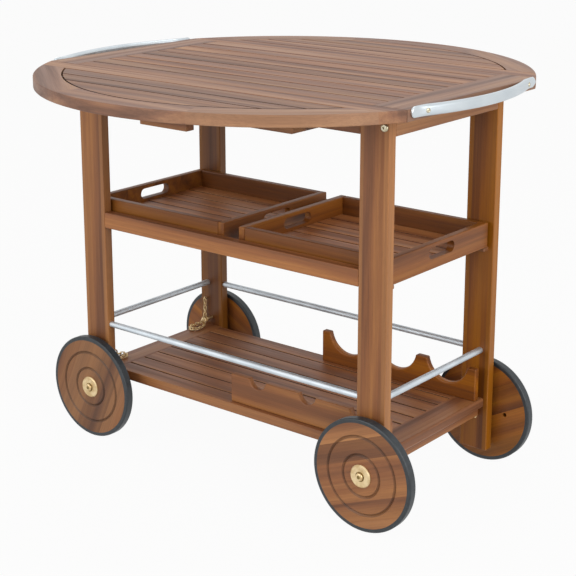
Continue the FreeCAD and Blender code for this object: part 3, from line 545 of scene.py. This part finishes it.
# bottle rack: both boards have their edges rounded over, round the notches too; mm and degrees
rackEdges = {"radius": 3.0, "segments": 4, "corner": 35.0, "flat": 0.5,
             "broadSide": 0.999}  # a face whose normal lies nearer to Y than this stays flat
for name in ("rack_front_board", "rack_back_board"):
    bm = bmesh.new()
    bm.from_mesh(nodes[name].data)
    bmesh.ops.remove_doubles(bm, verts=bm.verts, dist=weld["cadCopy"])
    bmesh.ops.dissolve_limit(bm, angle_limit=math.radians(rackEdges["flat"]), verts=bm.verts, edges=bm.edges)
    corners = [edge for edge in bm.edges if edge.calc_face_angle(0) > math.radians(rackEdges["corner"])]
    bmesh.ops.bevel(bm, geom=corners, offset=rackEdges["radius"] * mm, segments=rackEdges["segments"],
                    profile=0.5, affect="EDGES", material=-1)
    for face in bm.faces:
        face.smooth = abs(face.normal.y) < rackEdges["broadSide"]
    title = "rackBoard" + name.split("_")[1].capitalize()
    piece = addPiece(title, bm, nodes[name].data.materials[0], "frame")
    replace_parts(piece, name)
print("rack boards made")

# button-head screws of the handles, with a round socket; the profile gives radius and rise in mm
screwHead = {"profile": ((0.0, 0.3), (1.4, 0.3), (1.5, 1.7), (2.6, 1.9), (3.9, 1.2), (4.5, 0.1), (4.5, -1.5),
                         (0.0, -1.5)),
             "y": 170.0, "steps": 32}
bm = bmesh.new()
for side in (1, -1):
    for y in (-screwHead["y"], screwHead["y"]):
        corners = [bm.verts.new((radius * mm, 0, rise * mm)) for radius, rise in screwHead["profile"]]
        edges = [bm.edges.new(pair) for pair in zip(corners, corners[1:])]
        bmesh.ops.spin(bm, geom=corners + edges, axis=(0, 0, 1), cent=(0, 0, 0), angle=2 * math.pi,
                       steps=screwHead["steps"], use_merge=True)
        loose = [vert for vert in bm.verts if not vert.tag]
        outward = Vector((side * math.sqrt(bow["outer"] ** 2 - y ** 2), y, 0)).normalized()
        seat = Vector((side * bowStation(y)[0], y, bow["z"])) * mm
        turn = outward.to_track_quat("Z", "Y").to_matrix().to_4x4()
        bmesh.ops.transform(bm, matrix=Matrix.Translation(seat) @ turn, verts=loose)
        for vert in loose:
            vert.tag = True
bmesh.ops.remove_doubles(bm, verts=bm.verts, dist=weld["spun"])
bmesh.ops.recalc_face_normals(bm, faces=bm.faces)
for face in bm.faces:
    face.smooth = True
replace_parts(addPiece("buttonHeadScrews", bm, steel, "frame"), "handle_screws")
print("handles and screws made")

# dark ring round the head of each axle bolt, which turns with its cap, and a dark disc as the socket of the
# head,
# which does not: painted shade of the socket's hole; the profiles give radius and rise in mm
boltRings = {
    "capRing": {"profile": ((9.6, -0.3), (9.6, 0.3), (9.0, 0.5), (8.4, 0.3), (8.2, -0.3), (9.6, -0.3)),
                "steps": 48},
    "socketShade": {"profile": ((0.0, -0.3), (3.4, -0.3), (3.4, 0.1), (3.0, 0.25), (0.0, 0.25)), "steps": 32},
}
flatTop = 0.99  # a face whose normal lies nearer to Y than this stays flat
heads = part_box("axle_sets")
for name in wheels:
    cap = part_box("wheel_%s_cap" % name)
    end, side = (0, -1) if name.startswith("front") else (1, 1)
    title = "".join(word.capitalize() for word in name.split("_"))
    for kind, ring in boltRings.items():
        onCap = kind == "capRing"
        bm = bmesh.new()
        corners = [bm.verts.new((radius * mm, side * rise * mm, 0)) for radius, rise in ring["profile"]]
        edges = [bm.edges.new(pair) for pair in zip(corners, corners[1:])]
        bmesh.ops.spin(bm, geom=corners + edges, axis=(0, 1, 0), cent=(0, 0, 0), angle=2 * math.pi,
                       steps=ring["steps"], use_merge=True)
        bmesh.ops.remove_doubles(bm, verts=bm.verts, dist=weld["spun"])
        seat = ((cap[0][0] + cap[1][0]) / 2, (cap if onCap else heads)[end][1], (cap[0][2] + cap[1][2]) / 2)
        bmesh.ops.translate(bm, vec=seat, verts=bm.verts)
        bmesh.ops.recalc_face_normals(bm, faces=bm.faces)
        for face in bm.faces:
            face.smooth = abs(face.normal.y) < flatTop
        addPiece(kind + title, bm, darkBrassShade, "wheel_" + name if onCap else "frame")
print("bolt rings made")

# lock chains: the first links ride with the frame and the last with the pin; the links between are left where
# they lie
chain = {"still": 9, "lead": 1.0}  # links, and metres over which a blend runs
for side in ("front", "back"):
    node = "lock_chain_" + side
    pin = "lock_pin_" + side
    bm = bmesh.new()
    bm.from_mesh(nodes[node].data)
    bmesh.ops.remove_doubles(bm, verts=bm.verts, dist=weld["cadCopy"])
    # each link is one island of the mesh, in the order in which the chain runs
    links = []
    found = set()
    for vert in bm.verts:
        if vert in found:
            continue
        island = {vert}
        border = [vert]
        while border:
            last = border.pop()
            for edge in last.link_edges:
                other = edge.other_vert(last)
                if other not in island:
                    island.add(other)
                    border.append(other)
        found |= island
        links.append(island)
    print("chain", side, len(links), "links")
    groups = [links[:chain["still"]]] + [[link] for link in links[chain["still"]:]]
    lastGroup = len(groups) - 1
    for number, group in enumerate(groups):
        kept = set().union(*group)
        part = bm.copy()
        part.verts.ensure_lookup_table()
        dropped = [part.verts[vert.index] for vert in bm.verts if vert not in kept]
        bmesh.ops.delete(part, geom=dropped, context="VERTS")
        for face in part.faces:
            face.smooth = True
        middle = sum((vert.co for vert in part.verts), Vector()) / len(part.verts)
        body = {0: "frame", lastGroup: pin}.get(number)
        piece = addPiece("chain%s%02d" % (side.capitalize(), number), part, brass, body)
        if body is None:
            # the link's place is baked into its mesh; its share of the pin's travel is worked out but used
            # for nothing
            share = number / lastGroup
            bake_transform(piece)
        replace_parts(piece, node)
    bm.free()
print("chains made")

# studio: pale floor, white surroundings to the camera and in reflections, plain soft light
studio = {"floorSize": 90.0, "floor": "#C9C9C6", "ambient": 0.46, "floorWhite": 0.95,
          "backdrop": 0.967}  # as bright as the far floor, so that no horizon shows
white = (1, 1, 1, 1)


# 1 for rays from the camera, from a shiny surface or through glass, 0 for light that falls on the object
def seenDirectly(tree):
    path = addNode(tree, "ShaderNodeLightPath")
    seen = addNode(tree, "ShaderNodeMath", {"operation": "MAXIMUM"},
                   {0: path.outputs["Is Camera Ray"], 1: path.outputs["Is Glossy Ray"]})
    return addNode(tree, "ShaderNodeMath", {"operation": "MAXIMUM"},
                   {0: seen.outputs[0], 1: path.outputs["Is Transmission Ray"]}).outputs[0]


floorMesh = bpy.data.meshes.new("floor")
bm = bmesh.new()
bmesh.ops.create_grid(bm, x_segments=1, y_segments=1, size=studio["floorSize"] / 2)
bm.to_mesh(floorMesh)
bm.free()
floor = bpy.data.objects.new("floor", floorMesh)
bpy.context.scene.collection.objects.link(floor)
# paper: dull white, so it takes a faint shadow
material, tree, output = newMaterial("paper backdrop white")
paper = addNode(tree, "ShaderNodeBsdfDiffuse", {"Color": hexToLinear(studio["floor"])})
glow = addNode(tree, "ShaderNodeEmission", {"Color": white, "Strength": 1.0})
share = addNode(tree, "ShaderNodeMath", {"operation": "MULTIPLY", 1: studio["floorWhite"]},
                {0: seenDirectly(tree)})
mixed = addNode(tree, "ShaderNodeMixShader", {},
                {0: share.outputs[0], 1: paper.outputs[0], 2: glow.outputs[0]})
tree.links.new(mixed.outputs[0], output.inputs["Surface"])
floorMesh.materials.append(material)

world = bpy.data.worlds.new("studio white")
bpy.context.scene.world = world
world.use_nodes = True
tree = world.node_tree
tree.nodes.clear()
output = tree.nodes.new("ShaderNodeOutputWorld")
soft = addNode(tree, "ShaderNodeBackground", {"Color": white, "Strength": studio["ambient"]})
backdrop = addNode(tree, "ShaderNodeBackground", {"Color": white, "Strength": studio["backdrop"]})
mixed = addNode(tree, "ShaderNodeMixShader", {},
                {0: seenDirectly(tree), 1: soft.outputs[0], 2: backdrop.outputs[0]})
tree.links.new(mixed.outputs[0], output.inputs["Surface"])

lamps = {
    "frontSoftbox": {"from": (-0.7, -3.0, 1.5), "size": 2.2, "watts": 41},
    "rightSoftbox": {"from": (3.0, -0.7, 1.6), "size": 2.0, "watts": 56},
    "topSoftbox": {"from": (-0.4, 0.6, 3.2), "size": 1.5, "watts": 17},
}
lampTarget = Vector((0, 0, 0.42))  # the middle of the cart
for name, look in lamps.items():
    lamp = bpy.data.lights.new(name, "AREA")
    lamp.shape = "SQUARE"
    lamp.size = look["size"]
    lamp.energy = look["watts"]
    holder = bpy.data.objects.new(name, lamp)
    holder.location = look["from"]
    holder.rotation_euler = (lampTarget - holder.location).to_track_quat("-Z", "Y").to_euler()
    bpy.context.scene.collection.objects.link(holder)

# camera at the photograph's angle: metres, degrees and pixels of its frame
shot = {"place": (1.79176, -2.20967, 1.24493), "azimuth": 38.9, "down": 14.79, "focalPixels": 1452.03,
        "framePixels": 576, "sensor": 36.0, "shiftY": -0.12}
camera = bpy.data.cameras.new("camera")
camera.sensor_width = shot["sensor"]
camera.lens = shot["focalPixels"] * shot["sensor"] / shot["framePixels"]
camera.shift_y = shot["shiftY"]
holder = bpy.data.objects.new("camera", camera)
holder.location = shot["place"]
holder.rotation_euler = (math.radians(90 - shot["down"]), 0, math.radians(shot["azimuth"]))
bpy.context.scene.collection.objects.link(holder)
bpy.context.scene.camera = holder
bpy.context.scene.view_settings.view_transform = "Standard"
print("studio and camera set")
